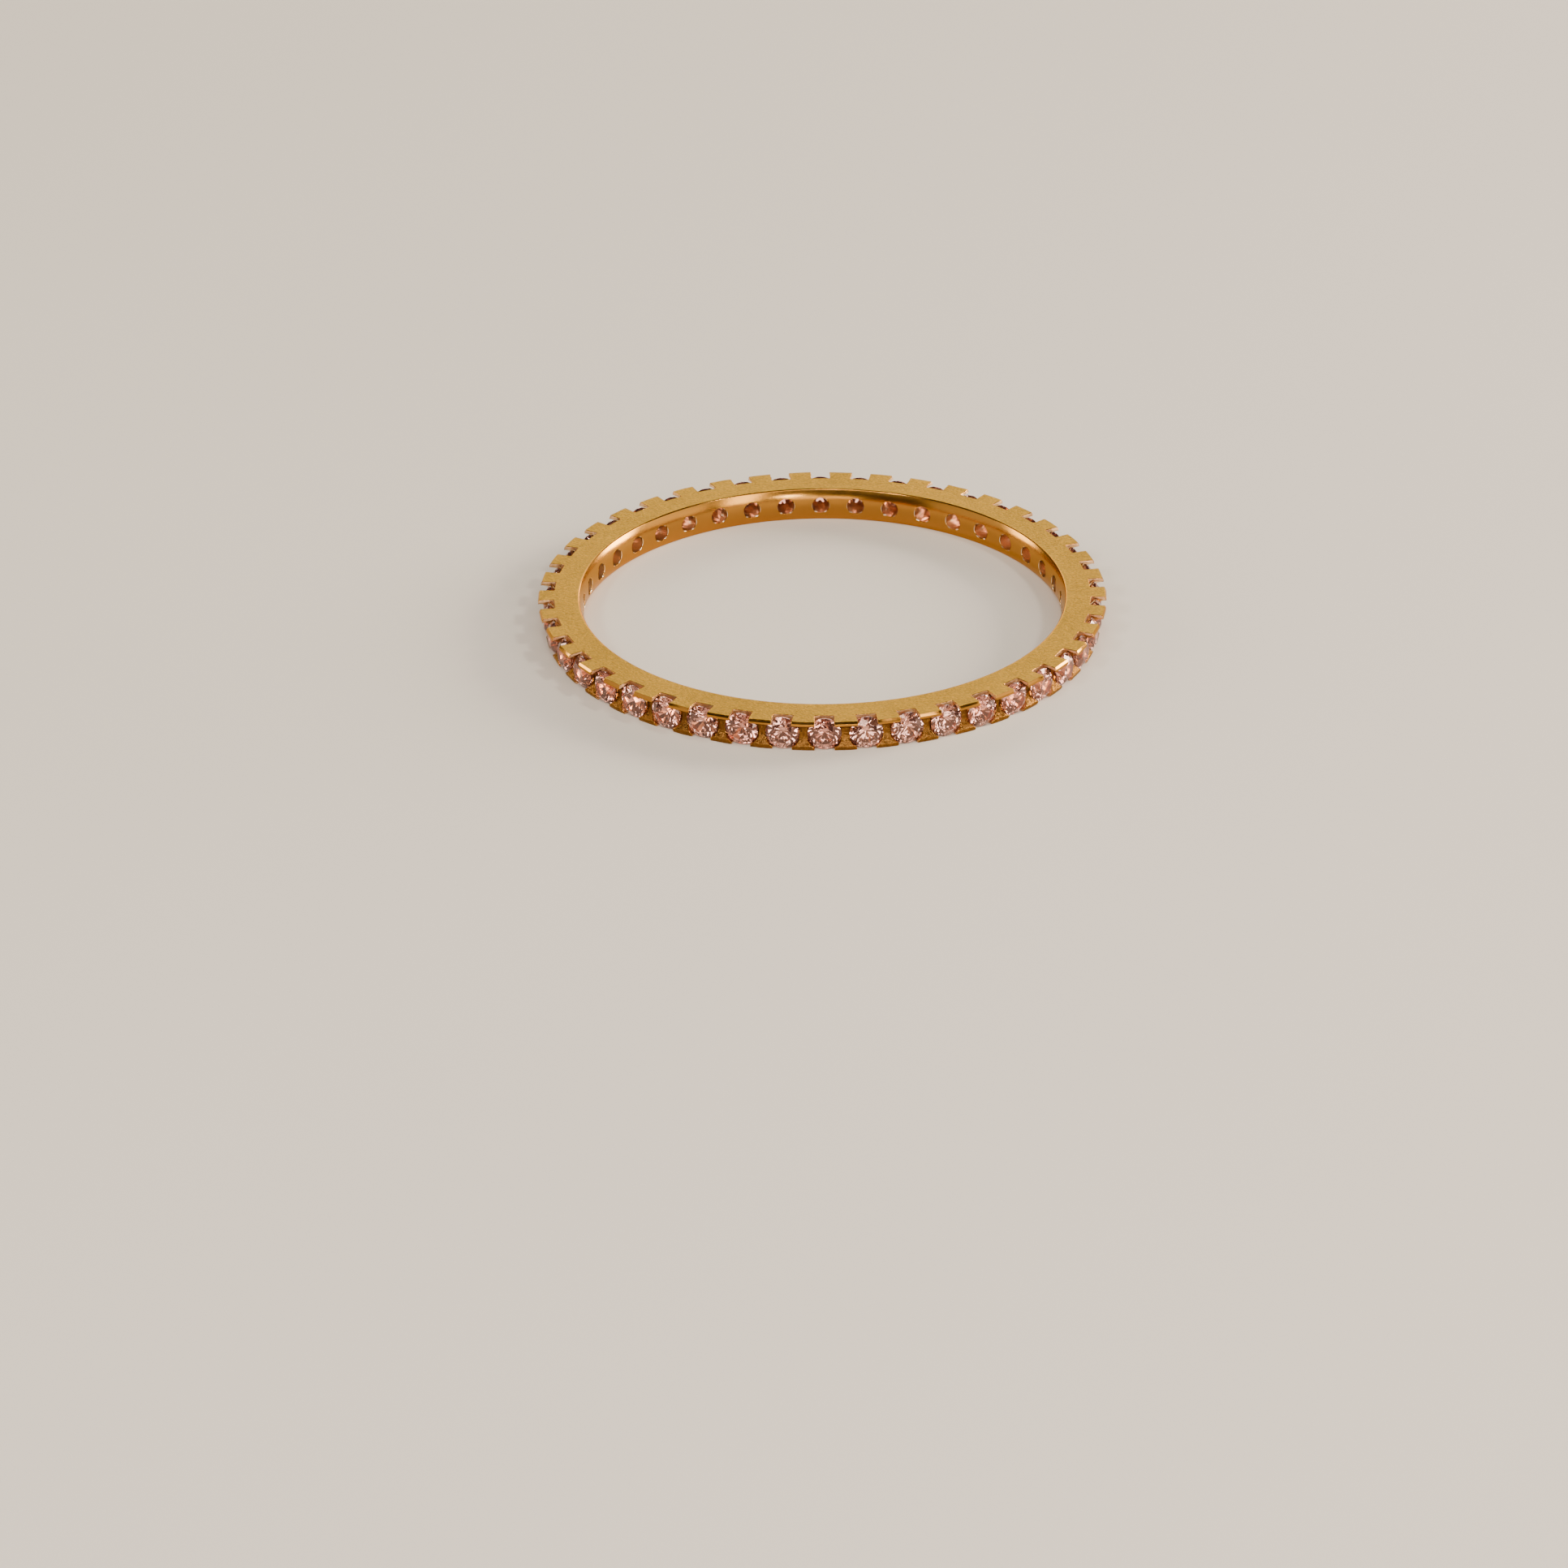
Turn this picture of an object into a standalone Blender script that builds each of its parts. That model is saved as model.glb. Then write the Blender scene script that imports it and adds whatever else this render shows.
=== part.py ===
"""Stacking ring set all the way round with small round pink stones.

Lengths are in metres and +Z is up. The ring lies on one flat side: its axis is the Z axis, its lower
face is at Z = 0, and its first stone faces -Y.
"""
import math

import bmesh
import bpy
from mathutils import Matrix, Vector

MM = 0.001

# Stones
STONE_DIAMETER = 1.18 * MM
STONE_SPACING = 0.26 * MM          # least room between two girdles, along the girdle circle
GIRDLE_THICKNESS = 0.05 * MM
CROWN_ANGLE = math.radians(34.5)
PAVILION_ANGLE = math.radians(41.0)
TABLE_SHARE = 0.56                 # of the stone's diameter
STAR_SHARE = 0.55                  # of the way from the table's edge to the girdle
LOWER_HALF_SHARE = 0.24            # of the stone's radius, where two lower halves meet
STONE_FOLDS = 8

# Band
BORE_RADIUS = 8.50 * MM
WALL = 1.62 * MM                   # bore to the pads' outer face
EDGE_MARGIN = 0.02 * MM            # metal past the stone's edge, on each flat side
BORE_DOME = 0.18 * MM              # how far the bore bulges towards the finger
GIRDLE_DEPTH = 0.32 * STONE_DIAMETER   # outer face of the pads to the middle of the girdle
SCOOP_DEPTH = 1.21 * GIRDLE_DEPTH      # how far the metal between two stones lies inside the pads

# Seats, pilot holes and edge notches
SEAT_CLEARANCE = 0.04 * MM
PILOT_DIAMETER = 0.51 * STONE_DIAMETER
BEAD_LEAN = 0.20                   # slope with which the pads' corners close over the stone
NOTCH_WIDTH = 0.59 * STONE_DIAMETER
NOTCH_DEPTH = 1.52 * GIRDLE_DEPTH      # along the radius, from the pads' outer face
NOTCH_DROP = 0.17 * STONE_DIAMETER     # along the ring's axis
CUT_OVERRUN = 0.30 * MM            # how far a cutter runs past the metal

# Facets
SECTOR_SEGMENTS = 2
BORE_SEGMENTS = 6
SEAT_SIDES = 12
MERGE_DISTANCE = 0.0001 * MM
SHARP_ANGLE = math.radians(28.0)

# Outside between two stones from the lower face up: share of the band's width, share of the scoop
PAD_PROFILE = (
    ("lower edge", 0.00, 0.60),
    ("lower bead", 0.13, 0.45),
    ("scoop foot", 0.34, 0.98),
    ("scoop head", 0.68, 1.00),
    ("upper pad foot", 0.86, 0.02),
    ("upper pad head", 0.92, 0.00),
    ("upper edge", 1.00, 0.09),
)

STONE_RADIUS = STONE_DIAMETER / 2
BAND_WIDTH = STONE_DIAMETER + 2 * EDGE_MARGIN
OUTER_RADIUS = BORE_RADIUS + WALL
GIRDLE_RADIUS = OUTER_RADIUS - GIRDLE_DEPTH
STONE_COUNT = int(math.tau * GIRDLE_RADIUS / (STONE_DIAMETER + STONE_SPACING))
SECTOR = math.tau / STONE_COUNT
FRONT = -math.pi / 2

GOLD = {"name": "gold", "color": (0.72, 0.47, 0.20, 1.0), "metallic": 1.0, "roughness": 0.30}
PINK_STONE = {"name": "pink_stone", "color": (0.80, 0.50, 0.46, 1.0), "metallic": 0.0, "roughness": 0.05}


def clear_scene():
    for item in list(bpy.data.objects):
        bpy.data.objects.remove(item, do_unlink=True)


def make_material(look):
    material = bpy.data.materials.new(look["name"])
    material.use_nodes = True
    shader = material.node_tree.nodes["Principled BSDF"]
    shader.inputs["Base Color"].default_value = look["color"]
    shader.inputs["Metallic"].default_value = look["metallic"]
    shader.inputs["Roughness"].default_value = look["roughness"]
    return material


def add_object(name, mesh, material=None):
    item = bpy.data.objects.new(name, mesh)
    bpy.context.collection.objects.link(item)
    if material is not None:
        mesh.materials.clear()
        mesh.materials.append(material)
    return item


def mesh_from(name, shape):
    mesh = bpy.data.meshes.new(name)
    shape.to_mesh(mesh)
    shape.free()
    return mesh


def bore_profile():
    """Points (radius, height) of the domed bore from the top edge down."""
    half = BAND_WIDTH / 2
    lean = 2 * math.atan(BORE_DOME / half)
    arc = half / math.sin(lean)
    points = []
    for step in range(BORE_SEGMENTS + 1):
        turn = lean * (1 - 2 * step / BORE_SEGMENTS)
        points.append((BORE_RADIUS + arc * (1 - math.cos(turn)), half + arc * math.sin(turn)))
    return points


def pad_profile():
    """Points (radius, height) of the outside, from the lower face up."""
    return [
        (OUTER_RADIUS - SCOOP_DEPTH * inward, BAND_WIDTH * height)
        for _name, height, inward in PAD_PROFILE
    ]


def loft(rings):
    """A closed body through rings of equally many points, capped at both ends."""
    shape = bmesh.new()
    loops = [[shape.verts.new(point) for point in ring] for ring in rings]
    count = len(loops[0])
    for first, second in zip(loops, loops[1:]):
        for index in range(count):
            following = (index + 1) % count
            shape.faces.new((first[index], first[following], second[following], second[index]))
    shape.faces.new(loops[0][::-1])
    shape.faces.new(loops[-1])
    bmesh.ops.recalc_face_normals(shape, faces=shape.faces)
    return shape


def on_ring(radius, angle, height):
    return Vector((radius * math.cos(angle), radius * math.sin(angle), height))


def sector_body():
    """One stone's share of the plain band, symmetric about the +X axis."""
    profile = pad_profile() + bore_profile()
    rings = []
    for step in range(SECTOR_SEGMENTS + 1):
        angle = SECTOR * (step / SECTOR_SEGMENTS - 0.5)
        rings.append([on_ring(radius, angle, height) for radius, height in profile])
    return mesh_from("sector", loft(rings))


def seat_cutter():
    """Pilot hole, cone under the stone and the opening, which narrows outward along the ring's axis."""
    pilot = PILOT_DIAMETER / 2
    open_radius = STONE_RADIUS + SEAT_CLEARANCE
    seat_edge = GIRDLE_RADIUS - GIRDLE_THICKNESS / 2 - SEAT_CLEARANCE / 2
    cone_foot = seat_edge - (open_radius - pilot) * math.tan(PAVILION_ANGLE)
    cut_end = OUTER_RADIUS + CUT_OVERRUN
    lean = BEAD_LEAN * (cut_end - seat_edge)
    sections = (
        (BORE_RADIUS - CUT_OVERRUN, pilot, pilot),
        (cone_foot, pilot, pilot),
        (seat_edge, open_radius, open_radius),
        (cut_end, open_radius, open_radius - lean),
    )
    rings = []
    for radius, across, along in sections:
        ring = []
        for side in range(SEAT_SIDES):
            turn = math.tau * side / SEAT_SIDES
            ring.append(Vector((radius, across * math.cos(turn), BAND_WIDTH / 2 + along * math.sin(turn))))
        rings.append(ring)
    return mesh_from("seat_cutter", loft(rings))


def notch_cutter(low, high):
    """Square notch in the rim between the heights low and high."""
    near = OUTER_RADIUS - NOTCH_DEPTH
    far = OUTER_RADIUS + CUT_OVERRUN
    half = NOTCH_WIDTH / 2
    rings = []
    for height in (low, high):
        rings.append([
            Vector((near, -half, height)),
            Vector((far, -half, height)),
            Vector((far, half, height)),
            Vector((near, half, height)),
        ])
    return mesh_from("notch_cutter", loft(rings))


def cut(body_mesh, cutter_meshes):
    """The body less each cutter, as a new mesh. The working objects are removed again."""
    body = add_object("body", body_mesh)
    cutters = []
    for mesh in cutter_meshes:
        cutter = add_object("cutter", mesh)
        cutter.hide_render = True
        cutter.display_type = "WIRE"
        modifier = body.modifiers.new("cut", "BOOLEAN")
        modifier.operation = "DIFFERENCE"
        modifier.solver = "EXACT"
        modifier.object = cutter
        cutters.append(cutter)
    evaluated = body.evaluated_get(bpy.context.evaluated_depsgraph_get())
    result = bpy.data.meshes.new_from_object(evaluated)
    for item in [body] + cutters:
        bpy.data.objects.remove(item, do_unlink=True)
    return result


def open_sector_ends(shape):
    """Takes away the two flat ends of a sector, where it joins its neighbours."""
    ends = []
    for side in (-1, 1):
        angle = side * SECTOR / 2
        outward = Vector((-math.sin(angle), math.cos(angle), 0.0)) * side
        for face in shape.faces:
            if all(abs(vertex.co.dot(outward)) < MERGE_DISTANCE for vertex in face.verts):
                ends.append(face)
    bmesh.ops.delete(shape, geom=ends, context="FACES")


def make_band(material):
    cutters = (
        seat_cutter(),
        notch_cutter(BAND_WIDTH - NOTCH_DROP, BAND_WIDTH + CUT_OVERRUN),
        notch_cutter(-CUT_OVERRUN, NOTCH_DROP),
    )
    sector_mesh = cut(sector_body(), cutters)
    sector = bmesh.new()
    sector.from_mesh(sector_mesh)
    open_sector_ends(sector)
    sector.to_mesh(sector_mesh)
    sector.free()
    whole = bmesh.new()
    for index in range(STONE_COUNT):
        first_new = len(whole.verts)
        whole.from_mesh(sector_mesh)
        whole.verts.ensure_lookup_table()
        turn = Matrix.Rotation(FRONT + index * SECTOR, 4, "Z")
        bmesh.ops.transform(whole, matrix=turn, verts=whole.verts[first_new:])
    bmesh.ops.remove_doubles(whole, verts=whole.verts, dist=MERGE_DISTANCE)
    band_mesh = mesh_from("band", whole)
    band_mesh.shade_smooth()
    band_mesh.set_sharp_from_angle(angle=SHARP_ANGLE)
    return add_object("band", band_mesh, material)


def stone_point(radius, turn, out):
    """Point of a stone whose axis is +X; out is measured from the middle of its girdle."""
    return Vector((out, radius * math.cos(turn), radius * math.sin(turn)))


def stone_mesh():
    """Round brilliant: table, stars, kites and halves above the girdle, mains and halves below."""
    half_girdle = GIRDLE_THICKNESS / 2
    fold = math.tau / STONE_FOLDS
    half_fold = fold / 2
    table_radius = STONE_RADIUS * TABLE_SHARE
    table_edge = table_radius * math.cos(half_fold)
    star_radius = table_edge + STAR_SHARE * (STONE_RADIUS - table_edge)
    lower_radius = STONE_RADIUS * LOWER_HALF_SHARE

    def crown_height(radius, turn):
        return half_girdle + (STONE_RADIUS - radius * math.cos(turn)) * math.tan(CROWN_ANGLE)

    def pavilion_height(radius, turn):
        return -half_girdle - (STONE_RADIUS - radius * math.cos(turn)) * math.tan(PAVILION_ANGLE)

    shape = bmesh.new()
    table = []
    star = []
    lower = []
    for index in range(STONE_FOLDS):
        main = index * fold
        between = main + half_fold
        table.append(shape.verts.new(stone_point(table_radius, main, crown_height(table_radius, 0.0))))
        star.append(shape.verts.new(stone_point(star_radius, between, crown_height(star_radius, half_fold))))
        lower.append(
            shape.verts.new(stone_point(lower_radius, between, pavilion_height(lower_radius, half_fold)))
        )
    upper_girdle = []
    lower_girdle = []
    for index in range(2 * STONE_FOLDS):
        turn = index * half_fold
        upper_girdle.append(shape.verts.new(stone_point(STONE_RADIUS, turn, half_girdle)))
        lower_girdle.append(shape.verts.new(stone_point(STONE_RADIUS, turn, -half_girdle)))
    culet = shape.verts.new(stone_point(0.0, 0.0, pavilion_height(0.0, 0.0)))

    shape.faces.new(table)
    for index in range(STONE_FOLDS):
        following = (index + 1) % STONE_FOLDS
        main = 2 * index
        between = main + 1
        last = (main + 2) % (2 * STONE_FOLDS)
        shape.faces.new((table[index], star[index], table[following]))
        shape.faces.new((table[index], star[index - 1], upper_girdle[main], star[index]))
        shape.faces.new((star[index], upper_girdle[main], upper_girdle[between]))
        shape.faces.new((star[index], upper_girdle[between], upper_girdle[last]))
        shape.faces.new((culet, lower[index], lower_girdle[main], lower[index - 1]))
        shape.faces.new((lower[index], lower_girdle[between], lower_girdle[main]))
        shape.faces.new((lower[index], lower_girdle[last], lower_girdle[between]))
    for index in range(2 * STONE_FOLDS):
        following = (index + 1) % (2 * STONE_FOLDS)
        shape.faces.new(
            (upper_girdle[index], lower_girdle[index], lower_girdle[following], upper_girdle[following])
        )
    bmesh.ops.recalc_face_normals(shape, faces=shape.faces)
    bmesh.ops.translate(shape, verts=shape.verts, vec=Vector((GIRDLE_RADIUS, 0.0, BAND_WIDTH / 2)))
    return mesh_from("stone", shape)


def make_stones(material):
    mesh = stone_mesh()
    for index in range(STONE_COUNT):
        stone = add_object(f"stone_{index + 1:02d}", mesh, material)
        stone.rotation_euler.z = FRONT + index * SECTOR


def main():
    clear_scene()
    make_band(make_material(GOLD))
    make_stones(make_material(PINK_STONE))


main()
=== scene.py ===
"""Slim gold-coloured ring set all the way round with small round pink stones.

Lengths are in metres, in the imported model's frame: the ring lies on its lower flat face at Z = 0, its
axis is the Z axis, and its first stone faces -Y.
"""
import math

import bmesh
import bpy
from mathutils import Matrix, Vector, noise


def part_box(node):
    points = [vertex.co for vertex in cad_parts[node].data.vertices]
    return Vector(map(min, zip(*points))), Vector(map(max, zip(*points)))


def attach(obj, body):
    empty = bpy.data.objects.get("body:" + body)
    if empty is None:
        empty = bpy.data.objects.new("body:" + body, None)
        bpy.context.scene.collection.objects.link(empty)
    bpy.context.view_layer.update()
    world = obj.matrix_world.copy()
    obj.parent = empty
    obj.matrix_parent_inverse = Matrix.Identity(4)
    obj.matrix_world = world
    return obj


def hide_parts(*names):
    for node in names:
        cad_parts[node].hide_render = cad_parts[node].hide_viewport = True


bl_info = {
    "name": "Stone-set stacking ring",
    "version": (1, 0, 0),
    "blender": (4, 5, 0),
    "location": "3D View > Sidebar > Ring",
    "description": "Builds a slim ring set with small round stones, and a stage to photograph it on",
    "category": "Object",
}

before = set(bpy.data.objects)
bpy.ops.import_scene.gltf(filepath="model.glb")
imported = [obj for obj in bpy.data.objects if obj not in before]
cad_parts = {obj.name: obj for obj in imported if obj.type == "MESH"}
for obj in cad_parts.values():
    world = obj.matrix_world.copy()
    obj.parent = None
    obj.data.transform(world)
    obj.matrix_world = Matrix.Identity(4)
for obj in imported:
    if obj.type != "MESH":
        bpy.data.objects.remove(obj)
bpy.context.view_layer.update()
STONE_NODES = sorted(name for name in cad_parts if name.startswith("stone_"))

MM = 0.001
IMAGE_SIZE = 1932
FRONT = -math.pi / 2

# Faces of the band are sorted by how they are finished, in the order of the rows below
SATIN, POLISHED_WITH_PAINTED_SHADE, MILLED_PAINTED_SHADE, NOTCHED, WORN_WITH_PAINTED_SHADE, SEATED = range(6)

# Finish, its colour's name, grain size and depth in mm, shade's change, roughness and its spread
METALS = (
    ("Satin", "gold", 0.070, 0.025, 1.80, 0.40, 0.25),
    # Polished and worn: their deep colour is partly the polished metal's own tone and partly painted shade,
    # for the dark surroundings these mirror-like faces reflect
    ("Polished", "gold_deep", 0.15, 0.001, 0.06, 0.12, 0.06),
    # Milled: its colour is darkened as painted shade on the scoops and feet between the stones
    ("Milled", "gold_milled", 0.12, 0.060, 1.40, 0.29, 0.15),
    ("Notched", "gold_pale", 0.08, 0.030, 0.80, 0.45, 0.10),
    ("Worn", "gold_deep", 0.15, 0.001, 0.10, 0.21, 0.08),
    ("Seated", "gold_bright", 0.15, 0.001, 0.10, 0.25, 0.08),
)

# How much of the metal's slow change of shade is left, so that a flat face looks even
SLOW_SHARE = 0.35

BAND_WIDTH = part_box("band")[1][2]

# Faces that meet at less than the first angle are shaded as one. Edges sharper than the second are softened.
SMOOTH_ANGLE = math.radians(50.0)
BEVEL_ANGLE = math.radians(32.0)

# Points nearer to each other than this are taken as one, in metres
WELD = 1e-7

# Slow unevenness of the pads, which grows to its full depth between two shares of the wall
HAND_WORK_PITCH = 0.45 * MM
HAND_WORK_DEPTH = 0.018 * MM
HAND_WORK_START = 0.50
HAND_WORK_FULL = 0.75

# Fine unevenness of the notches' walls
BURR_PITCH = 0.07 * MM
BURR_DEPTH = 0.036 * MM

# Seed of both, never 0, because 0 means that the clock is the seed
HAND_WORK_SEED = 1

# Most of a side that the curve at one of its corners may take
SIDE_SHARE = 0.45

# How far a cutter runs past the metal it cuts, outside and at the bore
OVERRUN = 0.30 * MM
BORE_OVERRUN = 0.10 * MM

# Depth of the countersink where a pilot hole meets the bore, and reach of a notch's round inner corners
COUNTERSINK = 0.03 * MM
NOTCH_CORNER = 0.05 * MM

# How far the seats' opening narrows along the axis towards the outside, as a share of its depth
SEAT_LEAN = 0.20

# A stone's cut: angles of crown and pavilion, and shares of its radius or of the way out from the table
CROWN_ANGLE = math.radians(34.5)
PAVILION_ANGLE = math.radians(41.0)
TABLE_SHARE = 0.56
STAR_SHARE = 0.55
LOWER_SHARE = 0.24

# How far a stone may be tipped in its seat, either way
STONE_TIP = math.radians(1.2)

# Outside between two stones from the lower face up: share of the width, share of the scoop's depth,
# and how far the corner is softened, in metres
PAD_CORNERS = (
    (0.00, 0.60, 0.020 * MM),
    (0.13, 0.45, 0.070 * MM),
    (0.34, 0.98, 0.100 * MM),
    (0.68, 1.00, 0.080 * MM),
    (0.86, 0.02, 0.012 * MM),
    (0.92, 0.00, 0.060 * MM),
    (1.00, 0.12, 0.004 * MM),
)

# Share of the width below which the outside is milled and darkened with painted shade, and above which it is
# polished
PAD_FOOT = 0.84

# How far the floor's shade drifts, and how far the floor reaches in metres
FLOOR_DRIFT = 0.04
FLOOR_RADIUS = 3.0

WORLD_COLOR = (0.75, 0.66, 0.56, 1.0)
WORLD_STRENGTH = 0.06

WARM = (1.0, 0.93, 0.84)
WHITE = (1.0, 0.98, 0.95)

# Name, azimuth from +X and elevation in degrees, distance, size, watts and colour of each light
LIGHTS = (
    ("key right", 20.0, 14.0, 0.36, (0.12, 0.17), 2.45, WARM),
    ("window front right", -52.0, 18.0, 0.36, (0.09, 0.19), 0.52, WARM),
    ("fill left", 163.0, 14.0, 0.36, (0.10, 0.16), 0.65, WARM),
    ("front high", -90.0, 43.0, 0.36, (0.30, 0.05), 0.50, WHITE),
    ("wall front", -90.0, 4.0, 0.36, (0.22, 0.05), 0.18, WARM),
    ("wall right", -17.0, 12.0, 0.36, (0.22, 0.15), 0.22, WARM),
    ("wall left", 198.0, 13.0, 0.36, (0.26, 0.15), 0.13, WARM),
    ("back", 84.0, 24.0, 0.40, (0.34, 0.12), 0.56, WARM),
    ("rim back", 64.0, 10.0, 0.40, (0.05, 0.07), 0.26, WARM),
    ("spark high", -96.0, 58.0, 0.34, (0.04, 0.04), 0.20, WHITE),
    ("spark left", -128.0, 40.0, 0.34, (0.03, 0.05), 0.30, WHITE),
    ("spark low", -75.0, 12.0, 0.34, (0.04, 0.02), 0.18, WHITE),
    ("spark right", -30.0, 50.0, 0.34, (0.03, 0.04), 0.30, WHITE),
)


class RingSizes(bpy.types.PropertyGroup):
    """Sizes of the band and of its stones."""

    bore_radius: bpy.props.FloatProperty(
        name="Bore radius", description="Inside radius of the band", default=8.50 * MM, unit="LENGTH"
    )
    wall: bpy.props.FloatProperty(
        name="Wall", description="From the bore to the pads' outer face", default=1.62 * MM, unit="LENGTH"
    )
    width: bpy.props.FloatProperty(
        name="Width", description="Band's width along its axis", default=BAND_WIDTH, unit="LENGTH"
    )
    bore_dome: bpy.props.FloatProperty(
        name="Bore dome", description="How far the bore bulges towards the finger between its two edges",
        default=0.16 * MM, unit="LENGTH"
    )
    rim_round: bpy.props.FloatProperty(
        name="Rim round", description="Softening of the edge between the flat faces and the bore",
        default=0.04 * MM, unit="LENGTH"
    )
    stone_count: bpy.props.IntProperty(
        name="Stones", description="Number of stones round the band", default=len(STONE_NODES)
    )
    stone_diameter: bpy.props.FloatProperty(
        name="Stone diameter", description="Diameter of each stone's girdle", default=1.18 * MM,
        unit="LENGTH"
    )
    girdle_thickness: bpy.props.FloatProperty(
        name="Girdle", description="Thickness of each stone's girdle", default=0.05 * MM, unit="LENGTH"
    )
    girdle_share: bpy.props.FloatProperty(
        name="Girdle depth", default=0.32,
        description="Pads' outer face to the girdle, as a share of the stone's diameter"
    )
    scoop_share: bpy.props.FloatProperty(
        name="Scoop depth", default=1.21,
        description="Depth of the scoop between two stones, as a share of the girdle depth"
    )
    notch_depth_share: bpy.props.FloatProperty(
        name="Notch depth", default=1.52,
        description="Depth of the rim's notches, as a share of the girdle depth"
    )
    notch_width_share: bpy.props.FloatProperty(
        name="Notch width", description="Width of the rim's notches, as a share of the stone's diameter",
        default=0.59
    )
    notch_drop_share: bpy.props.FloatProperty(
        name="Notch drop", description="Notches' reach along the axis, as a share of the stone's diameter",
        default=0.17
    )
    pilot_share: bpy.props.FloatProperty(
        name="Pilot hole", default=0.51,
        description="Hole behind each stone, as a share of the stone's diameter"
    )
    seat_clearance: bpy.props.FloatProperty(
        name="Seat clearance", description="Room round each stone", default=0.04 * MM, unit="LENGTH"
    )
    edge_bevel: bpy.props.FloatProperty(
        name="Edge bevel", description="Softening of the metal's sharp edges", default=0.016 * MM,
        unit="LENGTH"
    )


class RingFinish(bpy.types.PropertyGroup):
    """Colours and finishes."""

    gold: bpy.props.FloatVectorProperty(
        name="Gold", description="Colour of the metal", subtype="COLOR", size=4, min=0.0, max=1.0,
        default=(0.535, 0.304, 0.047, 1.0)
    )
    # Deeper than the gold: partly the polished metal's tone, partly painted shade for the dark surroundings
    # the bore and pads reflect
    gold_deep: bpy.props.FloatVectorProperty(
        name="Gold, deep, painted shade", description="Colour of the metal where it is polished", subtype="COLOR", size=4,
        min=0.0, max=1.0, default=(0.42, 0.185, 0.030, 1.0)
    )
    # Much darker than the gold: painted shade on the scoops and feet under the pads
    gold_milled: bpy.props.FloatVectorProperty(
        name="Gold, milled, painted shade", description="Colour of the metal between the stones", subtype="COLOR", size=4,
        min=0.0, max=1.0, default=(0.185, 0.077, 0.016, 1.0)
    )
    gold_pale: bpy.props.FloatVectorProperty(
        name="Gold, pale", description="Colour of the metal in the notches", subtype="COLOR", size=4,
        min=0.0, max=1.0, default=(0.80, 0.50, 0.26, 1.0)
    )
    gold_bright: bpy.props.FloatVectorProperty(
        name="Gold, bright", description="Colour of the freshly cut metal in the seats under the stones",
        subtype="COLOR", size=4, min=0.0, max=1.0, default=(0.93, 0.72, 0.46, 1.0)
    )
    stone: bpy.props.FloatVectorProperty(
        name="Stone", description="Colour of the stones", subtype="COLOR", size=4, min=0.0, max=1.0,
        default=(0.715, 0.26, 0.19, 1.0)
    )
    stone_pale: bpy.props.FloatVectorProperty(
        name="Stone, pale", description="Colour of the palest stones", subtype="COLOR", size=4,
        min=0.0, max=1.0, default=(0.77, 0.365, 0.288, 1.0)
    )
    stone_spin_seed: bpy.props.IntProperty(
        name="Stone seed", description="Seed of the way each stone is turned in its seat", default=11
    )


class StageLook(bpy.types.PropertyGroup):
    """Floor and lights."""

    floor: bpy.props.FloatVectorProperty(
        name="Floor", description="Colour of the floor", subtype="COLOR", size=4, min=0.0, max=1.0,
        default=(0.80, 0.70, 0.58, 1.0)
    )
    power: bpy.props.FloatProperty(name="Power", description="Scales every light", default=1.0, min=0.0)


def new_object(name, mesh):
    item = bpy.data.objects.new(name, mesh)
    bpy.context.scene.collection.objects.link(item)
    return item


def mesh_from(name, shape):
    mesh = bpy.data.meshes.new(name)
    shape.to_mesh(mesh)
    shape.free()
    return mesh


def softened(corners, steps=4):
    """Points of an open outline whose inner corners are each replaced by a small curve."""
    points = [Vector(corners[0][:2])]
    for before, corner, after in zip(corners, corners[1:], corners[2:]):
        tip = Vector(corner[:2])
        back = Vector(before[:2]) - tip
        ahead = Vector(after[:2]) - tip
        reach = min(corner[2], SIDE_SHARE * back.length, SIDE_SHARE * ahead.length)
        start = tip + back.normalized() * reach
        end = tip + ahead.normalized() * reach
        for step in range(steps + 1):
            share = step / steps
            points.append(start * (1 - share) ** 2 + tip * 2 * share * (1 - share) + end * share ** 2)
    points.append(Vector(corners[-1][:2]))
    return points


def band_outline(sizes, steps=20):
    """Closed outline (radius, height) of the band with the finish of each side that follows a point.

    The bore's first and last two points are left out, and its edges are rounded there instead.
    """
    outer = sizes.bore_radius + sizes.wall
    scoop = sizes.scoop_share * sizes.girdle_share * sizes.stone_diameter
    corners = [(outer - scoop * inward, sizes.width * height, soft) for height, inward, soft in PAD_CORNERS]
    edge = sizes.bore_radius + sizes.bore_dome
    half = sizes.width / 2
    lean = 2 * math.atan(sizes.bore_dome / half)
    arc = half / math.sin(lean)
    bore = []
    for step in range(steps + 1):
        turn = lean * (1 - 2 * step / steps)
        bore.append(Vector((sizes.bore_radius + arc * (1 - math.cos(turn)), half + arc * math.sin(turn))))
    bore = bore[2:-2]
    low_rim = (edge, 0.0, sizes.rim_round)
    high_rim = (edge, sizes.width, sizes.rim_round)
    outside = softened([bore[-1], low_rim] + corners + [high_rim, bore[0]])[1:-1]
    points = outside + bore
    finishes = []
    for index, point in enumerate(points):
        following = points[(index + 1) % len(points)]
        if abs(following.y - point.y) < WELD:
            finishes.append(SATIN)
        # The bore and its rims take the worn finish, whose deep colour holds painted shade
        elif max(point.x, following.x) < edge + sizes.rim_round + WELD:
            finishes.append(WORN_WITH_PAINTED_SHADE)
        else:
            # The outer faces take the milled finish below the pads' foot and the polished one above; both
            # colours hold painted shade
            finishes.append(MILLED_PAINTED_SHADE if point.y < PAD_FOOT * sizes.width else POLISHED_WITH_PAINTED_SHADE)
    return points, finishes


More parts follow.
